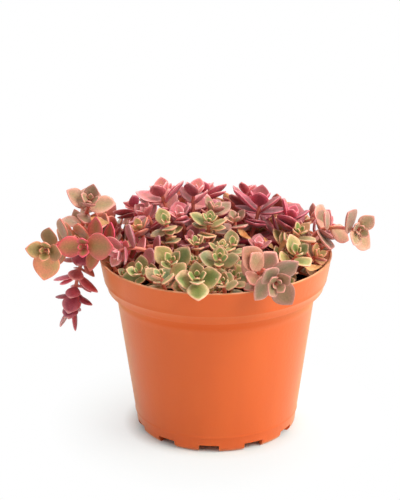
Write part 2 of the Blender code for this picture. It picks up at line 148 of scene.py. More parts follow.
def place(name, bm, made, stands_for=(), sharp=35.0):
    """Set a finished shape, in millimetres about the pot's axis, down as a piece of the plant."""
    bmesh.ops.scale(bm, vec=(MM, MM, MM), verts=bm.verts)
    bmesh.ops.translate(bm, vec=pot_axis, verts=bm.verts)
    mesh = bpy.data.meshes.new(name)
    bm.to_mesh(mesh)
    bm.free()
    mesh.shade_smooth()
    mesh.set_sharp_from_angle(angle=math.radians(sharp))
    mesh.materials.append(made)
    piece = bpy.data.objects.new(name, mesh)
    bpy.context.scene.collection.objects.link(piece)
    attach(piece, "root")
    if stands_for:
        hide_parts(*stands_for)
    return piece


def quarter(low, high, steps=8):
    """Points on a quarter ellipse from a flat floor up to an upright wall."""
    wide, tall = high[0] - low[0], high[1] - low[1]
    turns = [math.pi / 2 * step / steps for step in range(steps + 1)]
    return [(low[0] + wide * math.sin(turn), high[1] - tall * math.cos(turn)) for turn in turns]


def pot_outline():
    """The pot wall's outline: under the floor, up outside, over the lip and down the lining."""
    inner_foot = foot_radius - foot_width
    outside = [(0.0, foot_height), (inner_foot, foot_height), (inner_foot, 0.25)]
    outside += [(inner_foot + 0.25, 0.0), (foot_radius - 0.3, 0.0), (foot_radius + 0.25, 0.2)]
    outside += [(heel[0] - 0.35, heel[1] - 0.7), (heel[0] - 0.02, heel[1]), (heel[0] + 0.12, heel[1] + 0.9)]
    outside += [(skirt[0] - 0.45, skirt[1] - 0.8), (skirt[0] - 0.40, skirt[1] - 0.4)]
    outside += [(skirt[0] + 0.02, skirt[1] - 0.25), (skirt[0] + 0.10, skirt[1] + 0.05)]
    outside += [(skirt[0] + 0.02, skirt[1] + 0.35), (skirt[0] + 0.09, skirt[1] + 1.6)]
    outside += [(body_top[0] - 0.3, body_top[1] - 2.4), (body_top[0] - 0.06, body_top[1] - 0.7)]
    outside += [(body_top[0] + 0.35, body_top[1] + 0.7), (body_top[0] + 1.0, body_top[1] + 2.0)]
    outside += [(band_foot[0] - 2.1, band_foot[1] - 1.4), (band_foot[0] - 1.6, band_foot[1] - 0.85)]
    outside += [(band_foot[0] - 0.9, band_foot[1] - 0.6), (band_foot[0] - 0.25, band_foot[1] - 0.5)]
    outside += [(band_foot[0] - 0.02, band_foot[1] - 0.2), (band_foot[0] + 0.12, band_foot[1] + 0.5)]
    outside += [(band_bead[0] - 0.38, band_bead[1] - 0.8), (band_bead[0] - 0.08, band_bead[1] - 0.4)]
    outside += [(band_bead[0] + 0.08, band_bead[1]), (band_bead[0] + 0.02, band_bead[1] + 0.5)]
    outside += [band_middle, (rim - 0.45, top - 2.0), (rim - 0.1, top - 1.0), (rim, top - 0.55)]
    outside += [(rim - 0.14, top - 0.16)]
    lining = [(rim - 0.5, top), (rim - wall + 0.2, top - 0.05), (rim - wall - 0.1, top - 0.5)]
    lining += [(band_middle[0] - wall, band_middle[1]), (band_foot[0] - wall, band_foot[1] + 0.9)]
    lining += [(band_foot[0] - wall - 1.3, band_foot[1] - 0.3), (body_top[0] - wall, body_top[1])]
    low, high = (skirt[0] - wall - fillet, floor_top), (skirt[0] - wall, floor_top + fillet)
    lining += reversed(quarter(low, high))
    return outside + lining + [(0.0, floor_top)]


def carve(bm, cutter):
    """Cut a shape out of another; both are used up."""
    solids = []
    for shape in (bm, cutter):
        mesh = bpy.data.meshes.new("carving")
        shape.to_mesh(mesh)
        shape.free()
        solids.append(bpy.data.objects.new("carving", mesh))
        bpy.context.scene.collection.objects.link(solids[-1])
    cut = solids[0].modifiers.new("cut", "BOOLEAN")
    cut.operation = "DIFFERENCE"
    cut.solver = "EXACT"
    cut.object = solids[1]
    carved = bmesh.new()
    carved.from_object(solids[0], bpy.context.evaluated_depsgraph_get())
    for solid in solids:
        bpy.data.objects.remove(solid, do_unlink=True)
    return carved


pot_cuts = bmesh.new()
for step in range(notches):
    turn = Matrix.Rotation(math.radians(notch_turn - 90.0 + step * 360.0 / notches), 4, "Z")
    block = Matrix.Diagonal((4 * foot_width, notch_width, 2 * notch_height, 1.0))
    block = turn @ Matrix.Translation((foot_radius - foot_width / 2, 0.0, 0.0)) @ block
    bmesh.ops.create_cube(pot_cuts, size=1.0, matrix=block)
for step in range(drains):
    turn = math.tau * step / drains
    hole = Matrix.Translation((drain_circle * math.cos(turn), drain_circle * math.sin(turn), foot_height))
    bmesh.ops.create_cone(pot_cuts, cap_ends=True, segments=24, radius1=drain_radius, radius2=drain_radius,
                          depth=2 * floor_top, matrix=hole)

pot_plastic, shader = finish("pot_plastic")
clouds = spread(pot_plastic, grain(pot_plastic, 22.0), 0.35, 0.65)
flow = spread(pot_plastic, grain(pot_plastic, 60.0, stretch=(1.0, 1.0, 0.12)), 0.3, 0.7)
plain = mix(pot_plastic, clouds, paint(226, 97, 36), paint(230, 101, 38))
plain = mix(pot_plastic, flow, plain, paint(223, 95, 35))
# In the crease under the band, shade is painted in as a deeper colour, and the plastic is duller there.
coords = add(pot_plastic, "TexCoord").outputs["Object"]
height = add(pot_plastic, "SeparateXYZ", ((0, coords),)).outputs["Z"]
above = spread(pot_plastic, height, (body_top[1] - 0.6) * MM, (body_top[1] + 2.4) * MM)
below = spread(pot_plastic, height, band_foot[1] * MM, (band_foot[1] - 0.8) * MM)
painted_crease_shade = add(pot_plastic, "Math", ((0, above), (1, below)), operation="MULTIPLY").outputs[0]
plain = mix(pot_plastic, painted_crease_shade, plain, paint(220, 83, 18))
# A pale highlight is painted along the top of the lip.
painted_lip_highlight = spread(pot_plastic, height, (top - 0.7) * MM, (top - 0.1) * MM, 0.0, 0.75)
feed(pot_plastic, shader, "Base Color", mix(pot_plastic, painted_lip_highlight, plain, paint(240, 178, 132)))
gloss = spread(pot_plastic, grain(pot_plastic, 90.0), 0.2, 0.8, 0.34, 0.42)
feed(pot_plastic, shader, "Roughness", spread(pot_plastic, painted_crease_shade, 0.0, 1.0, gloss, 0.85))
shader.inputs["Specular IOR Level"].default_value = 0.3
shader.inputs["Sheen Weight"].default_value = 0.75
shader.inputs["Sheen Roughness"].default_value = 0.4
shader.inputs["Sheen Tint"].default_value = paint(255, 222, 168)
shader.inputs["Subsurface Weight"].default_value = 0.12
shader.inputs["Subsurface Radius"].default_value = (1.0, 0.35, 0.12)
shader.inputs["Subsurface Scale"].default_value = 0.003
roughen(pot_plastic, shader, grain(pot_plastic, 700.0, 3.0), 0.00006)
shell = carve(turned(pot_outline(), pot_sides), pot_cuts)
place("pot_shell", shell, pot_plastic, ("pot",), 32.0)

# ---------------------------------------------------------------- potting soil
# The root ball: dark peat that fills the pot to a finger's width under the lip, with a rough top of
# crumbs, bark chips and a few pale bits of grit. The crumbs are loose pieces that lie on the peat.

soil_level = 83.0
soil_edge = 81.0
soil_fill = 55.5
soil_gap = 0.3
soil_sides = 120
crumb_count = 900
crumb_shades = (paint(46, 38, 30), paint(33, 29, 25), paint(70, 54, 38), paint(98, 74, 50),
                paint(120, 108, 88))
crumb_share = (5, 5, 3, 2, 0.6)


def soil_height(x, y):
    """The height of the peat: slow lumps with finer ones on them."""
    slow = 0.55 * math.sin(0.19 * x + 0.6) * math.cos(0.16 * y - 0.4)
    slow = slow + 0.45 * math.sin(0.11 * x - 0.27 * y + 1.9)
    fine = noise.fractal(Vector((x, y, 0.0)) * 0.35, 0.8, 2.0, 4)
    return soil_level + 1.3 * slow + 0.9 * fine


soil_foot = floor_top + soil_gap
soil_outline = [(0.0, soil_foot), (skirt[0] - wall - fillet - 2 * soil_gap, soil_foot)]
soil_outline += [(skirt[0] - wall - 0.4, floor_top + fillet + soil_gap)]
soil_outline += [(body_top[0] - wall - 0.5, body_top[1])]
soil_outline += [(band_foot[0] - wall - 1.9, band_foot[1] - 0.3), (soil_fill, soil_edge)]
soil_outline += [(soil_fill * (1.0 - step / 40), soil_level) for step in range(1, 41)]
soil = turned(soil_outline, soil_sides)
for vert in soil.verts:
    if vert.co.z > soil_edge + soil_gap:
        vert.co.z = soil_height(vert.co.x, vert.co.y)

peat, shader = finish("peat")
lump = grain(peat, 420.0, 6.0)
fibre = grain(peat, 900.0, 3.0, stretch=(1.0, 0.25, 1.0))
dark = mix(peat, spread(peat, lump, 0.35, 0.65), paint(27, 24, 21), paint(62, 49, 37))
fibre = spread(peat, fibre, 0.60, 0.72, 0.0, 0.5)
feed(peat, shader, "Base Color", mix(peat, fibre, dark, paint(104, 82, 58)))
shader.inputs["Roughness"].default_value = 0.95
shader.inputs["Specular IOR Level"].default_value = 0.2
roughen(peat, shader, lump, 0.0012)
place("peat", soil, peat, ("soil",), 80.0)

crumb, shader = finish("peat_crumb")
shade = add(crumb, "Attribute", attribute_name="shade").outputs["Color"]
mottle = spread(crumb, grain(crumb, 1500.0), 0.3, 0.7)
feed(crumb, shader, "Base Color", mix(crumb, mottle, shade, paint(24, 20, 17)))
shader.inputs["Roughness"].default_value = 0.95
roughen(crumb, shader, grain(crumb, 2200.0, 4.0), 0.0004)

rng = random.Random(7)
crumbs = bmesh.new()
shade_layer = crumbs.verts.layers.float_color.new("shade")
for step in range(crumb_count):
    reach = (soil_fill - 1.0) * math.sqrt(rng.random())
    turn = rng.uniform(0.0, math.tau)
    x, y = reach * math.cos(turn), reach * math.sin(turn)
    size = rng.uniform(0.35, 1.15) * (1.7 if rng.random() < 0.12 else 1.0)
    shape = Matrix.Diagonal((size * rng.uniform(0.8, 2.2), size, size * rng.uniform(0.4, 0.9), 1.0))
    spin = Matrix.Rotation(rng.uniform(0, math.tau), 4, "Z")
    tip = Matrix.Rotation(rng.uniform(-0.5, 0.5), 4, "X")
    spot = Matrix.Translation((x, y, soil_height(x, y) + 0.2 * size))
    lumpy = bmesh.ops.create_icosphere(crumbs, subdivisions=1, radius=1.0,
                                       matrix=spot @ spin @ tip @ shape)["verts"]
    colour = rng.choices(crumb_shades, crumb_share)[0]
    for vert in lumpy:
        vert.co += Vector((rng.uniform(-1, 1), rng.uniform(-1, 1), rng.uniform(-1, 1))) * 0.22 * size
        vert[shade_layer] = colour
place("peat_crumbs", crumbs, crumb, (), 50.0)

# ---------------------------------------------------------------- shoots
# Forty-five rooted cuttings of a trailing crassula. Each roots in the peat, climbs or trails, and
# carries crossed pairs of fleshy leaves that end in a small rosette. Each stands for the CAD shoot of
# the same name, on the same route and with the same leaves.

stem_radius = 1.15
route_steps = 64
node_space = 1.8
bare_foot = 7.0
foot_reach = 2.3
leaf_width = 0.88
leaf_thickness = 1.5
leaf_curl = 26.0
# A pair of leaves: its way down from the tip and its length, both against the shoot's leaf length, and
# its lean from the stem in degrees.
rosette = ((0.04, 0.62, 42), (0.24, 0.92, 64), (0.58, 1.00, 76), (1.08, 1.02, 84), (1.70, 0.96, 90),
           (2.45, 0.88, 92), (3.25, 0.80, 92))
paired = ((0.04, 1.00, 80), (0.62, 0.80, 86), (1.40, 0.90, 90), (2.30, 0.85, 92))
reaching = ((0.04, 0.66, 60), (0.34, 1.00, 80), (1.50, 1.04, 88), (2.35, 0.95, 90), (3.20, 0.85, 92))
hanging = ((0.04, 0.95, 22), (0.80, 1.00, 50), (1.60, 1.05, 68), (2.60, 0.95, 80), (3.50, 0.85, 88))
# Sizes that a leaf may have taken for want of room, with a further lean in degrees.
room_steps = ((1.0, 0), (0.94, 8), (0.94, -8), (0.84, 0), (0.84, 15), (0.84, -15), (0.7, 0), (0.7, 20),
              (0.6, 0), (0.6, -20))
# Where the plain leaf has its cross-sections: share of its length, width and thickness.
plain_outline = ((0.16, 0.66, 1.0), (0.46, 1.00, 1.0), (0.78, 0.68, 0.9), (1.0, 0.08, 0.5))

# A shoot: name, points in millimetres about the pot's axis from its root to its tip, the way its tip
# faces, turn of its last pair in degrees, leaf length, how it carries its pairs, and its leaves' paint.
shoots = (
    ("shoot_left_reaching", ((-32, 4), (-57, 3, 101), (-68, -8, 104), (-80, -16, 106), (-85, -30, 107)),
     (-0.15, -0.96, 0.25), -7, 16, reaching, "olive"),
    ("shoot_left_pair", ((-37, -9), (-56, -15, 103), (-66, -27, 108)),
     (-0.10, -0.97, 0.20), 4, 16.5, paired, "ripe"),
    ("shoot_left_high", ((-37, 13), (-59, 9, 101), (-69, 4, 106), (-64, -6, 125)),
     (0.10, -0.61, 0.79), 73, 15.5, rosette, "dusky"),
    ("shoot_left_hanging", ((-42, -4), (-62, -6, 101), (-70, -7, 89), (-75, -9, 65)),
     (-0.26, -0.22, -0.94), 141, 12, hanging, "magenta"),
    ("shoot_left_middle", ((-24, -16), (-34, -22, 103), (-49, -31, 106)),
     (-0.67, -0.70, -0.24), 80, 14, rosette, "magenta"),
    ("shoot_left_inner", ((-20, -9), (-25, -15, 117)), (-0.10, -0.49, 0.87), 32, 10.5, rosette, "green"),
    ("shoot_front_left", ((-15, -27), (-22, -41, 105)), (0.05, -0.62, 0.78), 39, 12.5, rosette, "green"),
    ("shoot_front_rim_left", ((-30, -27), (-38, -39, 99)), (-0.25, -0.50, 0.83), 15, 12, rosette, "green"),
    ("shoot_front_middle", ((-7, -36), (-9, -56, 102)), (0.00, -0.56, 0.83), 93, 14.5, rosette, "green"),
    ("shoot_front_small", ((-8, -24), (-11, -32, 102)), (-0.15, -0.28, 0.95), 68, 9, rosette, "green"),
    ("shoot_front_right", ((3, -26), (2, -38, 105)), (0.10, -0.61, 0.79), 78, 12, rosette, "green"),
    ("shoot_over_rim", ((18, -33), (23, -49, 103), (29.5, -65, 102)),
     (0.06, -0.92, 0.38), 38, 15, rosette, "dusky"),
    ("shoot_rim_low", ((7, -40), (10, -47, 99)), (0.20, -0.48, 0.85), 15, 8.5, rosette, "green"),
    ("shoot_middle_olive", ((-4, -6), (-3, -10, 116)), (0.10, -0.29, 0.95), 84, 12, rosette, "green"),
    ("shoot_middle_dark", ((-11, -11), (-13, -13, 107)), (-0.30, -0.33, 0.89), 24, 11, rosette, "magenta"),
    ("shoot_middle_green", ((5, -14), (9, -22, 107)), (0.00, -0.39, 0.92), 10, 10.5, rosette, "green"),
    ("shoot_middle_red", ((16, -10), (22, -15, 104)), (0.05, -0.02, 1.00), -1, 12.5, rosette, "magenta"),
    ("shoot_top_left", ((-20, 7), (-28, 8, 125)), (-0.30, 0.06, 0.95), 76, 16, rosette, "magenta"),
    ("shoot_top", ((-9, 6), (-11, 8, 125)), (0.12, 0.04, 0.99), 66, 16, rosette, "magenta"),
    ("shoot_top_front", ((-2, 3), (-1, 2, 118)), (0.36, 0.01, 0.93), 40, 14, rosette, "dusky"),
    ("shoot_top_far_left", ((-27, 3), (-36, 3, 116)), (-0.46, -0.09, 0.89), 29, 14, rosette, "magenta"),
    ("shoot_upper_left", ((-13, -3), (-18, -4, 117)), (-0.20, -0.24, 0.95), 49, 12.5, rosette, "magenta"),
    ("shoot_upper_edge", ((-29, -8), (-39, -9, 112)), (-0.30, -0.18, 0.94), 65, 12.5, rosette, "olive"),
    ("shoot_right_high", ((15, 3), (23, 4, 121)), (0.06, 0.02, 1.00), 84, 17.5, rosette, "crimson"),
    ("shoot_right_crown", ((25, 3), (39, 3, 113)), (0.34, 0.04, 0.94), 72, 18, rosette, "crimson"),
    ("shoot_right_middle", ((8, -3), (10, -3, 114)), (-0.10, -0.28, 0.95), 25, 12.5, rosette, "dusky"),
    ("shoot_right_behind", ((31, 11), (45, 14, 108)), (0.36, 0.22, 0.91), 43, 12.5, rosette, "olive"),
    ("shoot_right_reaching", ((38, -3), (51, -2, 104), (60, -6, 110), (73, -16, 112)),
     (0.12, -0.92, 0.37), 49, 15.5, reaching, "dusky"),
    ("shoot_right_inner", ((29, -9), (43, -14, 111)), (0.25, -0.34, 0.91), 11, 12, rosette, "green"),
    ("shoot_right_rim", ((39, -15), (52, -19, 100)), (0.56, -0.32, 0.76), 61, 12.5, rosette, "olive"),
    ("shoot_right_front", ((29, -20), (41, -29, 105)), (-0.10, -0.55, 0.83), 37, 12, rosette, "green"),
    ("shoot_back_left_low", ((-38, 21), (-59, 33, 102)), (-0.76, 0.46, 0.46), 15, 14, rosette, "olive"),
    ("shoot_back_left", ((-28, 17), (-43, 26, 112)), (-0.50, 0.35, 0.80), 60, 14, rosette, "magenta"),
    ("shoot_back_left_inner", ((-18, 18), (-26, 27, 119)),
     (-0.30, 0.35, 0.89), 30, 13.5, rosette, "magenta"),
    ("shoot_back_rim_left", ((-27, 32), (-41, 49, 100)), (-0.54, 0.64, 0.54), 45, 13, rosette, "dusky"),
    ("shoot_back_centre_left", ((-14, 27), (-21, 41, 110)),
     (-0.25, 0.55, 0.80), 10, 13.5, rosette, "olive"),
    ("shoot_back_centre", ((-5, 22), (-5, 33, 118)), (0.00, 0.40, 0.92), 70, 14, rosette, "magenta"),
    ("shoot_back_trailing", ((-8, 40), (-12, 58, 101), (-15, 70, 83)),
     (-0.15, 0.59, -0.79), 20, 13, hanging, "magenta"),
    ("shoot_back_rim", ((6, 36), (9, 54, 103)), (0.10, 0.80, 0.60), 50, 13.5, rosette, "green"),
    ("shoot_back_centre_right", ((11, 24), (17, 37, 112)), (0.25, 0.50, 0.83), 25, 14, rosette, "dusky"),
    ("shoot_back_right_inner", ((12, 17), (17, 28, 119)), (0.15, 0.30, 0.94), 80, 13.5, rosette, "magenta"),
    ("shoot_back_right", ((25, 21), (37, 31, 108)), (0.50, 0.45, 0.74), 5, 14, rosette, "olive"),
    ("shoot_back_rim_right", ((24, 34), (36, 51, 100)), (0.45, 0.70, 0.55), 65, 13, rosette, "green"),
    ("shoot_right_far", ((38, 12), (60, 22, 102)), (0.81, 0.30, 0.51), 30, 13.5, rosette, "magenta"),
    ("shoot_back_right_low", ((36, 24), (53, 38, 101)), (0.66, 0.56, 0.51), 80, 13, rosette, "dusky"),
)


class Stem:
    """A stem's route with a frame at any distance from its tip."""

    def __init__(self, points, facing, turn):
        self.points = [points[-1].copy()]
        tangents = [Vector((0, 0, (points[1] - points[0]).length))]
        tangents += [(after - before) * 0.5 for before, after in zip(points, points[2:])]
        tangents.append((points[-1] - points[-2]).length * facing)
        for index in reversed(range(len(points) - 1)):
            for step in reversed(range(route_steps)):
                t = step / route_steps
                self.points.append(points[index] * (2 * t ** 3 - 3 * t ** 2 + 1)
                                   + tangents[index] * (t ** 3 - 2 * t ** 2 + t)
                                   + points[index + 1] * (3 * t ** 2 - 2 * t ** 3)
                                   + tangents[index + 1] * (t ** 3 - t ** 2))
        self.reach = [0.0]
        for before, after in zip(self.points, self.points[1:]):
            self.reach.append(self.reach[-1] + (after - before).length)
        side = facing.cross(Vector((0, 0, 1))) if abs(facing.z) < 0.95 else facing.cross(Vector((0, 1, 0)))
        side = Matrix.Rotation(math.radians(turn), 3, facing) @ side
        self.frames = []
        for index in range(len(self.points)):
            before = self.points[max(index - 1, 0)]
            after = self.points[min(index + 1, len(self.points) - 1)]
            axis = (before - after).normalized()
            side = (side - axis * side.dot(axis)).normalized()
            self.frames.append((axis, side))

    def at(self, distance):
        """The place, axis and side way at a distance down from the tip."""
        index = 0
        while index < len(self.reach) - 2 and self.reach[index + 1] < distance:
            index += 1
        share = (distance - self.reach[index]) / (self.reach[index + 1] - self.reach[index])
        return self.points[index].lerp(self.points[index + 1], share), *self.frames[index]

    def leaf_ways(self, distance, way):
        """The place, axis, outward way and crosswise way of a leaf: ways 0 to 3 go round the stem."""
        spot, axis, side = self.at(distance)
        across = axis.cross(side)
        out = (side, across, -side, -across)[way]
        return spot, axis, out, axis.cross(out)


def blade_line(stem, distance, way, length, lean, shares):
    """A leaf's middle line: (place, crosswise way, upward way) at each share of its length."""
    spot, axis, out, across = stem.leaf_ways(distance, way)
    line = []
    centre = spot + out * stem_radius
    reach = 0.0
    for share in shares:
        bend = math.radians(lean - leaf_curl * (share - 0.3))
        heading = out * math.sin(bend) + axis * math.cos(bend)
        centre = centre + heading * length * (share - reach)
        reach = share
        line.append((centre, across, heading.cross(across)))
    return line


def tip_corners(stem, distance, way, length, lean):
    """The four corners that the plain leaf has at its tip."""
    line = blade_line(stem, distance, way, length, lean, [row[0] for row in plain_outline])
    centre, across, up = line[-1]
    half = plain_outline[-1][1] * length * leaf_width / 2
    deep = plain_outline[-1][2] * leaf_thickness / 2
    return [centre + across * half * a + up * deep * b for a, b in ((-1, -1), (1, -1), (1, 1), (-1, 1))]


def tree_of(marks):
    """A search tree of places."""
    tree = kdtree.KDTree(len(marks))
    for index, mark in enumerate(marks):
        tree.insert(mark, index)
    tree.balance()
    return tree


def leaves_on(stem, corners, leaf_length, habit):
    """The leaves that the CAD shoot carries: rank of the pair, distance, way, length and lean."""
    tree = tree_of(corners)
    found = []
    distance = 0.0
    for rank, (share, size, lean) in enumerate(habit):
        distance = max(share * leaf_length + 1.0, distance + node_space)
        if distance >= stem.reach[-1] - bare_foot:
            break
        for way in (0, 2) if rank % 2 == 0 else (1, 3):
            for room, more_lean in room_steps:
                length = size * leaf_length * room
                tip = tip_corners(stem, distance, way, length, lean + more_lean)
                if all(tree.find(corner)[2] < 0.05 for corner in tip):
                    found.append((rank, distance, way, length, lean + more_lean))
                    break
    return found


# ---------------------------------------------------------------- leaves
# A leaf is a thick, waxy, pointed oval, cupped above and keeled below, with a rounded edge. Its middle
# is green, its border pale and its edge flushed; in strong sun the whole leaf ripens to crimson. Each
# shoot's leaves are one piece, and what a leaf's finish needs to know is kept on its mesh.

# The fine leaf: share of its length, half-width and thickness there, against the fullest.
fine_outline = ((-0.04, 0.22, 0.75), (0.10, 0.62, 0.95), (0.26, 0.94, 1.0), (0.42, 1.05, 1.0),
                (0.58, 1.0, 1.0), (0.72, 0.82, 0.95), (0.84, 0.55, 0.85), (0.94, 0.24, 0.65),
                (1.0, 0.04, 0.35))
# Its cross-section, against its half-width and its thickness: over the top, then round the keel.
leaf_section = ((1, 0), (0.74, 0.26), (0, 0.36), (-0.74, 0.26),
                (-1, 0), (-0.74, -0.40), (0, -0.64), (0.74, -0.40))
# How near the leaf's edge each corner of the cross-section is, and how far on its underside.
section_edge = (1.0, 0.70, 0.0, 0.70, 1.0, 0.70, 0.0, 0.70)
section_under = (0.5, 0.0, 0.0, 0.0, 0.5, 1.0, 1.0, 1.0)
leaf_facts = ("margin", "under", "along", "tone", "age", "light")
# How far one leaf differs from the next: hollow, twist in degrees, fullness and depth of colour.
leaf_cup = (0.16, 0.38)
leaf_twist = (-11.0, 11.0)
leaf_fullness = (0.98, 1.08)
leaf_light = (0.72, 1.40)
# The closed buds at a shoot's tip are painted lighter: painted light against the shade inside the rosette.
bud_painted_light = 1.15
# The closed pairs at a shoot's tip: way down from the tip, ways round the stem, length against the
# shoot's leaf length, and lean in degrees.
tip_buds = ((0.9, (1, 3), 0.42, 40.0), (0.3, (0, 2), 0.25, 26.0))


def loft(bm, rings):
    """A closed solid through rings of eight points; returns its rings of verts."""
    block = bmesh.ops.create_cone(bm, cap_ends=True, segments=8, radius1=1.0, radius2=1.0, depth=1.0)
    ends = {face for vert in block["verts"] for face in vert.link_faces if len(face.verts) == 8}
    low, high = sorted(ends, key=lambda face: face.calc_center_median().z)
    order = [[round(math.atan2(vert.co.y, vert.co.x) / math.tau * 8) % 8 for vert in end.verts]
             for end in (low, high)]
    rows = []
    for end, slots, ring in ((low, order[0], rings[0]), (high, order[1], rings[1])):
        rows.append({slot: vert for slot, vert in zip(slots, end.verts)})
        for slot, vert in rows[-1].items():
            vert.co = ring[slot]
    for ring in rings[2:]:
        high = bmesh.ops.extrude_discrete_faces(bm, faces=[high])["faces"][0]
        rows.append({slot: vert for slot, vert in zip(order[1], high.verts)})
        for slot, vert in rows[-1].items():
            vert.co = ring[slot]
    return rows


def grow_leaf(bm, layers, stem, distance, way, length, lean, tone, age, bud=False):
    """One fleshy leaf: cupped above, keeled below, with a rounded edge and a pointed tip."""
    thickness = 0.85 + 0.075 * length
    cup = rng.uniform(*leaf_cup)
    twist = math.radians(rng.uniform(*leaf_twist))
    half = length * leaf_width / 2 * rng.uniform(*leaf_fullness)
    light = bud_painted_light if bud else rng.uniform(*leaf_light)
    rings = []
    line = blade_line(stem, distance, way, length, lean, [row[0] for row in fine_outline])
    for (centre, across, up), (share, width, depth) in zip(line, fine_outline):
        turn = Matrix.Rotation(twist * share, 3, across.cross(up))
        across, up = turn @ across, turn @ up
        reach = half * width
        deep = thickness * depth
        rings.append([centre + across * reach * x + up * (cup * reach * x * x + deep * z)
                      for x, z in leaf_section])
    for ring, (share, _, _) in zip(loft(bm, rings), fine_outline):
        near_tip = min(max((share - 0.76) / 0.24, 0.0), 1.0)
        for slot, vert in ring.items():
            vert[layers["margin"]] = 1.0 - (1.0 - section_edge[slot]) * (1.0 - near_tip)
            vert[layers["under"]] = section_under[slot] * (0.4 if bud else 1.0)
            vert[layers["along"]] = share
            vert[layers["tone"]] = tone
            vert[layers["age"]] = age
            vert[layers["light"]] = light


def leaf_finish(name, heart, body, band, edge, under, under_edge, blush):
    """A waxy leaf: a mottled middle, a paler band, a thin flushed edge, and its own underside."""
    made, shader = finish(name)
    facts = {key: add(made, "Attribute", attribute_name=key).outputs["Fac"] for key in leaf_facts}
    wander = spread(made, grain(made, 260.0, 3.0), 0.2, 0.8, -0.20, 0.20)
    margin = add(made, "Math", ((0, facts["margin"]), (1, wander)), operation="ADD").outputs[0]
    body = mix(made, spread(made, margin, 0.0, 0.60), heart, body)
    face = mix(made, spread(made, margin, 0.56, 0.96), body, band)
    rim_share = spread(made, grain(made, 70.0), 0.38, 0.62, 0.5, 1.0)
    rim_share = spread(made, facts["margin"], 0.80, 0.98, 0.0, rim_share)
    face = mix(made, rim_share, face, edge)
    back = mix(made, spread(made, margin, 0.35, 0.95), under, under_edge)
    face = mix(made, spread(made, facts["under"], 0.50, 0.72), face, back)
    streak = spread(made, grain(made, 150.0, 2.0), 0.35, 0.65)
    flush = add(made, "Math", ((0, facts["tone"]), (1, streak)), operation="MULTIPLY").outputs[0]
    face = mix(made, spread(made, flush, 0.0, 1.0, 0.0, 0.9), face, blush)
    face = mix(made, spread(made, facts["along"], 0.22, 0.0, 0.0, 0.5), face, band)
    face = mix(made, spread(made, facts["along"], 0.86, 1.0, 0.0, 0.6), face, edge)
    face = mix(made, facts["age"], face, paint(178, 118, 70))
    speckle = spread(made, grain(made, 1300.0, 2.0), 0.25, 0.75, 0.84, 1.10)
    shade = add(made, "Math", ((0, speckle), (1, facts["light"])), operation="MULTIPLY").outputs[0]
    shade = add(made, "CombineColor", ((0, shade), (1, shade), (2, shade))).outputs[0]
    feed(made, shader, "Base Color", mix(made, 1.0, face, shade, "MULTIPLY"))
    feed(made, shader, "Roughness", spread(made, grain(made, 600.0), 0.3, 0.7, 0.38, 0.52))
    shader.inputs["Specular IOR Level"].default_value = 0.45
    shader.inputs["Sheen Weight"].default_value = 0.15
    shader.inputs["Subsurface Weight"].default_value = 0.12
    shader.inputs["Subsurface Radius"].default_value = (1.0, 0.45, 0.25)
    shader.inputs["Subsurface Scale"].default_value = 0.0012
    roughen(made, shader, grain(made, 900.0, 3.0), 0.00016)
    return made


leaf_paints = {
    "green": leaf_finish("green_leaf",
                         paint(108, 130, 64), paint(150, 152, 86), paint(226, 194, 142),
                         paint(246, 166, 138), paint(184, 156, 106), paint(236, 166, 130),
                         paint(218, 146, 108)),
    "olive": leaf_finish("olive_leaf",
                         paint(150, 128, 74), paint(182, 146, 92), paint(222, 158, 114),
                         paint(240, 136, 114), paint(204, 106, 92), paint(236, 132, 116),
                         paint(214, 118, 96)),
    "ripe": leaf_finish("ripe_leaf",
                        paint(144, 112, 62), paint(188, 98, 80), paint(216, 76, 92),
                        paint(232, 66, 104), paint(190, 58, 88), paint(224, 84, 108),
                        paint(200, 84, 84)),
    "dusky": leaf_finish("dusky_leaf",
                         paint(148, 132, 90), paint(180, 138, 110), paint(214, 158, 136),
                         paint(236, 150, 138), paint(204, 114, 110), paint(228, 152, 144),
                         paint(206, 108, 104)),
    "crimson": leaf_finish("crimson_leaf",
                           paint(164, 80, 82), paint(186, 74, 92), paint(212, 98, 116),
                           paint(236, 138, 146), paint(140, 26, 60), paint(200, 66, 100),
                           paint(186, 52, 84)),
    "magenta": leaf_finish("magenta_leaf",
                           paint(190, 120, 106), paint(212, 116, 122), paint(232, 156, 156),
                           paint(246, 186, 180), paint(162, 50, 78), paint(218, 112, 128),
                           paint(208, 86, 108)),
}


def soften(piece, levels):
    """Round a piece off with a subdivision surface."""
    smooth = piece.modifiers.new("smooth", "SUBSURF")
    smooth.levels = levels
    smooth.render_levels = levels


def build_leaves(name, sprays, finish_name, stands_for=()):
    """Leaves as one piece, tiny closed pairs and all; a spray is a stem, its leaves and their length."""
    bm = bmesh.new()
    layers = {key: bm.verts.layers.float.new(key) for key in leaf_facts}
    for stem, leaves, leaf_length in sprays:
        for rank, distance, way, length, lean in leaves:
            tone = min(max(rng.gauss(0.32, 0.28), 0.0), 1.0)
            age = max(0.0, (rank - 3) * 0.18) + abs(rng.gauss(0.0, 0.14))
            grow_leaf(bm, layers, stem, distance, way, length, lean, tone, min(age, 0.75))
        for distance, ways, size, lean in tip_buds:
            for way in ways:
                grow_leaf(bm, layers, stem, distance, way, leaf_length * size, lean, 0.0, 0.0, True)
    bmesh.ops.recalc_face_normals(bm, faces=bm.faces)
    piece = place(name, bm, leaf_paints[finish_name], stands_for, 180.0)
    soften(piece, 1)


# ---------------------------------------------------------------- stems
# A stem is a thin juicy tube, coral pink where it is young and brown and corky towards its root. It
# swells a little at each node, where a pair of leaves is joined to it, and its foot is in the peat.

node_reach = 1.3
node_flat = 0.4
longest_gap = 3.5
shortest_gap = 0.35
foot_depth = 2.5

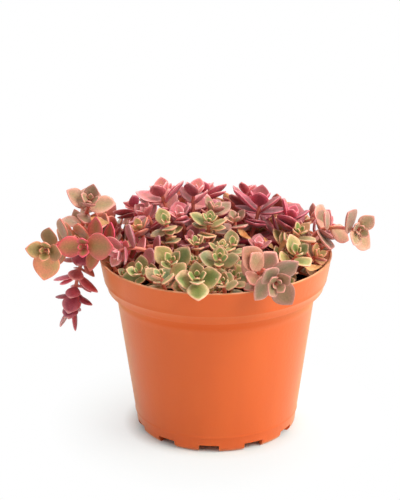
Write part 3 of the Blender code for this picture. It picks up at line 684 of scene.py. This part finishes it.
stem_skin, shader = finish("stem_skin")
along = add(stem_skin, "Attribute", attribute_name="along").outputs["Fac"]
blotch = spread(stem_skin, grain(stem_skin, 160.0), 0.3, 0.7)
fresh = mix(stem_skin, blotch, paint(214, 104, 96), paint(222, 136, 104))
cork = spread(stem_skin, grain(stem_skin, 500.0), 0.3, 0.7)
woody = mix(stem_skin, cork, paint(128, 78, 52), paint(92, 58, 42))
old = spread(stem_skin, along, 0.55, 1.0, 0.0, 0.8)
feed(stem_skin, shader, "Base Color", mix(stem_skin, old, fresh, woody))
shader.inputs["Roughness"].default_value = 0.5
roughen(stem_skin, shader, grain(stem_skin, 900.0, 3.0, stretch=(1.0, 1.0, 0.3)), 0.0002)


def build_stem(name, sprays, stands_for=()):
    """Stems as one piece: round tubes that swell at their nodes, thin at the tip and stand in the peat."""
    bm = bmesh.new()
    layer = bm.verts.layers.float.new("along")
    for stem, nodes in sprays:
        length = stem.reach[-1]
        marks = [0.0, 0.6, length]
        for distance in nodes:
            marks += [distance - node_reach, distance - node_flat]
            marks += [distance + node_flat, distance + node_reach]
        marks = sorted(mark for mark in marks if 0.0 <= mark <= length)
        stations = [0.0]
        for mark in marks:
            gap = mark - stations[-1]
            if gap > shortest_gap:
                steps = math.ceil(gap / longest_gap)
                stations += [stations[-1] + gap * step / steps for step in range(1, steps + 1)]
        rings = []
        for distance in stations:
            spot, axis, side = stem.at(distance)
            across = axis.cross(side)
            swell = max((1.0 - abs(distance - node) / 1.4 for node in nodes), default=0.0)
            radius = stem_radius * (0.78 + 0.12 * min(distance / 12.0, 1.0) + 0.24 * max(swell, 0.0))
            if distance < 0.6:
                radius *= 0.55
            rings.append([spot + (side * math.cos(turn) + across * math.sin(turn)) * radius
                          for turn in (math.tau * step / 8 for step in range(8))])
        rings.append([corner - Vector((0.0, 0.0, foot_depth)) for corner in rings[-1]])
        for ring, distance in zip(loft(bm, rings), stations + [length]):
            for vert in ring.values():
                vert[layer] = distance / length
    bmesh.ops.recalc_face_normals(bm, faces=bm.faces)
    piece = place(name, bm, stem_skin, stands_for, 60.0)
    soften(piece, 1)


# ---------------------------------------------------------------- planting
# The large shoots are set where the CAD has them. Smaller leaves stand at the nodes in between,
# wherever they have room clear of other leaves, of the peat and of the pot's rim.

clearance = 1.6
soil_clearance = 2.2
rim_clearance = 1.4
clear_foot = 4.0
mark_gap = 1.5
spare_pairs = 12
open_start = 1.15
close_start = 0.30
spare_step = 0.40


def leaf_marks(stem, distance, way, length, lean):
    """Places spread over a leaf, to tell whether it has room."""
    marks = []
    line = blade_line(stem, distance, way, length, lean, [row[0] for row in plain_outline])
    for (centre, across, _), (_, width, _) in zip(line, plain_outline):
        half = width * length * leaf_width * 0.4
        marks += [centre, centre + across * half, centre - across * half]
    return marks


def stem_marks(stem):
    """Places down a stem's middle line."""
    return [stem.at(step * mark_gap)[0] for step in range(int(stem.reach[-1] / mark_gap))]


def has_room(marks, tree):
    """Whether places are clear of others, of the peat and of the pot."""
    for mark in marks:
        reach = math.hypot(mark.x, mark.y)
        inside = reach < band_middle[0] - wall - 2.0
        if tree.find(mark)[2] < clearance or (inside and mark.z < soil_level + soil_clearance):
            return False
        if not inside and reach < rim + 2.5 and mark.z < top + rim_clearance:
            return False
    return True


# A further leaf that lies over the pot's rim: rank, way down from the tip, way round the stem, length
# and lean.
rim_leaves = {"shoot_front_middle": [(2, 3.0, 0, 13.0, 74)]}

rng = random.Random(11)
grown = []
filled = []
for name, points, facing, turn, leaf_length, habit, finish_name in shoots:
    corners = [(vert.co - pot_axis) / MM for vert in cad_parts[name].data.vertices]
    x, y = points[0]
    near = {tuple(round(c, 3) for c in corner) for corner in corners
            if math.hypot(corner.x - x, corner.y - y) < foot_reach}
    root = Vector((x, y, sum(sorted(corner[2] for corner in near)[:4]) / 4))
    stem = Stem([root] + [Vector(point) for point in points[1:]], Vector(facing).normalized(), turn)
    leaves = leaves_on(stem, corners, leaf_length, habit) + rim_leaves.get(name, [])
    grown.append((name, stem, leaves, leaf_length, finish_name))
    filled += stem_marks(stem)
    for leaf in leaves:
        filled += leaf_marks(stem, *leaf[1:])

# The sizes that a smaller leaf may have, against the shoot's leaf length, and the lean with each.
spare_leaves = ((0.80, 76), (0.80, 58), (0.66, 92), (0.66, 48), (0.52, 76), (0.42, 96), (0.42, 42))
for name, stem, leaves, leaf_length, finish_name in grown:
    tree = tree_of(filled)
    open_tip = stem.points[0].y < -20.0 or finish_name in ("olive", "ripe", "dusky")
    start = open_start if open_tip else close_start
    for rank in range(spare_pairs):
        distance = 1.0 + leaf_length * (start + spare_step * rank)
        if distance > stem.reach[-1] - clear_foot:
            break
        for way in (1, 3) if rank % 2 == 0 else (0, 2):
            for size, lean in spare_leaves:
                marks = leaf_marks(stem, distance, way, size * leaf_length, lean)
                if has_room(marks[3:], tree):
                    leaves.append((rank, distance, way, size * leaf_length, lean))
                    filled += marks
                    break

for name, stem, leaves, leaf_length, finish_name in grown:
    build_stem(name + "_stem", [(stem, sorted({leaf[1] for leaf in leaves}))], (name,))
    build_leaves(name + "_leaves", [(stem, leaves, leaf_length)], finish_name, (name,))

# ---------------------------------------------------------------- young shoots
# Short side shoots that have rooted between the others, each with a small rosette. They come up
# wherever one finds room: green at the front, green, olive or red further in.

young_tries = 4000
young_reach = 53.0
young_leaf = (6.5, 10.5)

young = {"green": [], "olive": [], "magenta": []}
tree = tree_of(filled)
for step in range(young_tries):
    reach = young_reach * math.sqrt(rng.random())
    turn = rng.uniform(0.0, math.tau)
    root = Vector((reach * math.cos(turn), reach * math.sin(turn), soil_level - 1.0))
    rise = rng.uniform(9.0, max(38.0 - 0.45 * reach, 20.0))
    tip = root + Vector((root.x * 0.06 + rng.uniform(-3, 3), root.y * 0.06 + rng.uniform(-3, 3), rise))
    facing = Vector((root.x / 150 + rng.gauss(0.0, 0.18), root.y / 150 + rng.gauss(-0.12, 0.18), 1.0))
    facing.normalize()
    leaf_length = rng.uniform(*young_leaf)
    stem = Stem([root, tip], facing, rng.uniform(0.0, 90.0))
    if not all(tree.find(mark)[2] > clearance for mark in stem_marks(stem)[:-3]):
        continue
    leaves = []
    distance = 0.0
    for rank, (share, size, lean) in enumerate(rosette):
        distance = max(share * leaf_length + 1.0, distance + node_space)
        if distance >= stem.reach[-1] - clear_foot:
            break
        for way in (0, 2) if rank % 2 == 0 else (1, 3):
            if has_room(leaf_marks(stem, distance, way, size * leaf_length, lean)[3:], tree):
                leaves.append((rank, distance, way, size * leaf_length, lean))
    if sum(leaf[0] < 3 for leaf in leaves) < 3:
        continue
    for leaf in leaves:
        filled += leaf_marks(stem, *leaf[1:])
    filled += stem_marks(stem)
    tree = tree_of(filled)
    kind = "green" if root.y < -20 else rng.choice(("green", "olive", "magenta", "magenta"))
    young[kind].append((stem, leaves, leaf_length))
for kind, sprays in young.items():
    stems = [(stem, sorted({leaf[1] for leaf in leaves})) for stem, leaves, _ in sprays]
    build_stem("young_" + kind + "_stems", stems)
    build_leaves("young_" + kind + "_leaves", sprays, kind)

# ---------------------------------------------------------------- withered leaves
# Old leaves that have dropped and dried: papery, orange-brown to straw, curled up and caught between
# the shoots. They are loose.

withered, shader = finish("withered_leaf")
cloud = spread(withered, grain(withered, 120.0), 0.35, 0.65)
dry = mix(withered, cloud, paint(214, 128, 62), paint(232, 190, 130))
spots = spread(withered, grain(withered, 420.0, 4.0), 0.5, 0.7)
feed(withered, shader, "Base Color", mix(withered, spots, dry, paint(150, 84, 40)))
shader.inputs["Roughness"].default_value = 0.75
roughen(withered, shader, grain(withered, 700.0, 4.0), 0.0004)

# A withered leaf: its place in millimetres, the way it points, its length and width, and how far it
# curls in degrees.
withered_leaves = (
    ((1.0, -5.0, 112.0), (0.1, -0.2, -1.0), 13.0, 4.5, 110),
    ((-10.0, -33.0, 103.0), (1.0, 0.1, 0.3), 12.0, 4.0, 170),
    ((48.0, -30.0, 99.0), (1.0, 0.2, -0.1), 13.0, 4.5, 120),
    ((14.0, -12.0, 110.0), (0.8, -0.4, -0.5), 10.0, 3.5, 90),
    ((27.0, -12.0, 104.5), (0.7, -0.5, -0.6), 10.0, 2.4, 60),
    ((-60.0, -12.0, 117.0), (0.9, 0.0, -0.2), 11.0, 5.0, 80),
    ((-16.0, -22.0, 103.0), (-0.9, 0.1, 0.3), 10.0, 3.0, 100),
    ((33.0, -19.0, 104.0), (0.3, -0.3, 0.9), 11.0, 3.0, 70),
)
dry_leaves = bmesh.new()
for spot, heading, length, width, curl in withered_leaves:
    heading = Vector(heading).normalized()
    across = heading.cross(Vector((0.0, -0.6, 0.8))).normalized()
    rings = []
    centre = Vector(spot) - heading * length / 3
    for share in (0.0, 0.12, 0.28, 0.44, 0.6, 0.76, 0.9, 1.0):
        bend = Matrix.Rotation(math.radians(curl * (share - 0.5)), 3, across)
        onward = bend @ heading
        up = across.cross(onward)
        half = width * (0.12 + 0.44 * math.sin(math.pi * share ** 0.8))
        rings.append([centre + across * half * x + up * (0.45 * half * x * x + 0.5 * z)
                      for x, z in leaf_section])
        centre = centre + onward * length / 7
    loft(dry_leaves, rings)
bmesh.ops.recalc_face_normals(dry_leaves, faces=dry_leaves.faces)
soften(place("withered_leaves", dry_leaves, withered, (), 180.0), 1)

# ---------------------------------------------------------------- floor, light and camera
# A seamless white sweep: the floor keeps the plant's shadow close to the pot and is plain white further
# out. A large soft lamp stands high on the right, a weaker one on the left and one above and behind,
# and the sky is a soft fill.

dark_reach = 0.038
near_reach = 0.050
clear_reach = 0.090
near_share = 0.70
floor_paint = paint(231, 242, 236)

floor = bmesh.new()
bmesh.ops.create_circle(floor, cap_ends=True, segments=96, radius=6000.0)
sweep, shader = finish("white_floor")
shader.inputs["Base Color"].default_value = floor_paint
shader.inputs["Roughness"].default_value = 0.8
shader.inputs["Specular IOR Level"].default_value = 0.0
coords = add(sweep, "TexCoord").outputs["Object"]
reach = add(sweep, "VectorMath", ((0, coords), (1, pot_axis)), operation="DISTANCE").outputs["Value"]
white = add(sweep, "Emission", (("Color", (1, 1, 1, 1)), ("Strength", 1.0)))
near = spread(sweep, reach, dark_reach, near_reach, 0.0, near_share)
keep = spread(sweep, reach, near_reach, clear_reach, near, 1.0)
shaded = add(sweep, "MixShader", ((0, keep), (1, shader.outputs[0]), (2, white.outputs[0])))
path = add(sweep, "LightPath").outputs
seen = add(sweep, "Math", ((0, path["Is Camera Ray"]), (1, path["Is Glossy Ray"])), operation="MAXIMUM")
shown = add(sweep, "MixShader", ((0, seen.outputs[0]), (1, shader.outputs[0]), (2, shaded.outputs[0])))
sweep.node_tree.links.new(shown.outputs[0], sweep.node_tree.nodes["Material Output"].inputs["Surface"])
bmesh.ops.scale(floor, vec=(MM, MM, MM), verts=floor.verts)
mesh = bpy.data.meshes.new("floor")
floor.to_mesh(mesh)
floor.free()
mesh.materials.append(sweep)
ground = bpy.data.objects.new("floor", mesh)
bpy.context.scene.collection.objects.link(ground)

world = bpy.data.worlds.new("studio")
bpy.context.scene.world = world
world.use_nodes = True
sky = world.node_tree
glow = sky.nodes["Background"]
glow.inputs["Color"].default_value = (1.0, 1.0, 1.0, 1.0)
glow.inputs["Strength"].default_value = 0.37
plain_white = sky.nodes.new("ShaderNodeBackground")
plain_white.inputs["Color"].default_value = (1.0, 1.0, 1.0, 1.0)
plain_white.inputs["Strength"].default_value = 1.0
path = sky.nodes.new("ShaderNodeLightPath")
either = sky.nodes.new("ShaderNodeMath")
either.operation = "MAXIMUM"
choice = sky.nodes.new("ShaderNodeMixShader")
sky.links.new(path.outputs["Is Camera Ray"], either.inputs[0])
sky.links.new(path.outputs["Is Glossy Ray"], either.inputs[1])
sky.links.new(either.outputs[0], choice.inputs[0])
sky.links.new(glow.outputs[0], choice.inputs[1])
sky.links.new(plain_white.outputs[0], choice.inputs[2])
sky.links.new(choice.outputs[0], sky.nodes["World Output"].inputs["Surface"])


def lamp(name, spot, aim, size, power):
    """A large soft lamp; places in metres about the pot's axis."""
    data = bpy.data.lights.new(name, "AREA")
    data.shape = "DISK"
    data.size = size
    data.energy = power
    made = bpy.data.objects.new(name, data)
    made.location = pot_axis + Vector(spot)
    made.rotation_mode = "QUATERNION"
    made.rotation_quaternion = (Vector(aim) - Vector(spot)).to_track_quat("-Z", "Y")
    bpy.context.scene.collection.objects.link(made)


lamp("key_lamp", (0.95, -0.45, 0.95), (0.0, 0.0, 0.08), 0.9, 18.0)
lamp("left_lamp", (-1.10, -0.50, 0.50), (0.0, 0.0, 0.06), 0.9, 1.6)
lamp("top_lamp", (0.10, 0.45, 1.2), (0.0, 0.0, 0.1), 0.8, 11.0)

view = bpy.data.cameras.new("camera")
view.lens = 131.47
view.sensor_width = 36.0
view.clip_start = 0.05
view.clip_end = 20.0
camera = bpy.data.objects.new("camera", view)
stand = Vector((0.0, -888.88, 420.66))
aim = Vector((-7.97, 0.0, 95.86))
roll = Matrix.Rotation(math.radians(-0.47), 4, "Z")
camera.matrix_world = (Matrix.Translation(pot_axis + stand * MM)
                       @ (aim - stand).to_track_quat("-Z", "Y").to_matrix().to_4x4() @ roll)
bpy.context.scene.collection.objects.link(camera)
bpy.context.scene.camera = camera
bpy.context.scene.view_settings.view_transform = "Standard"
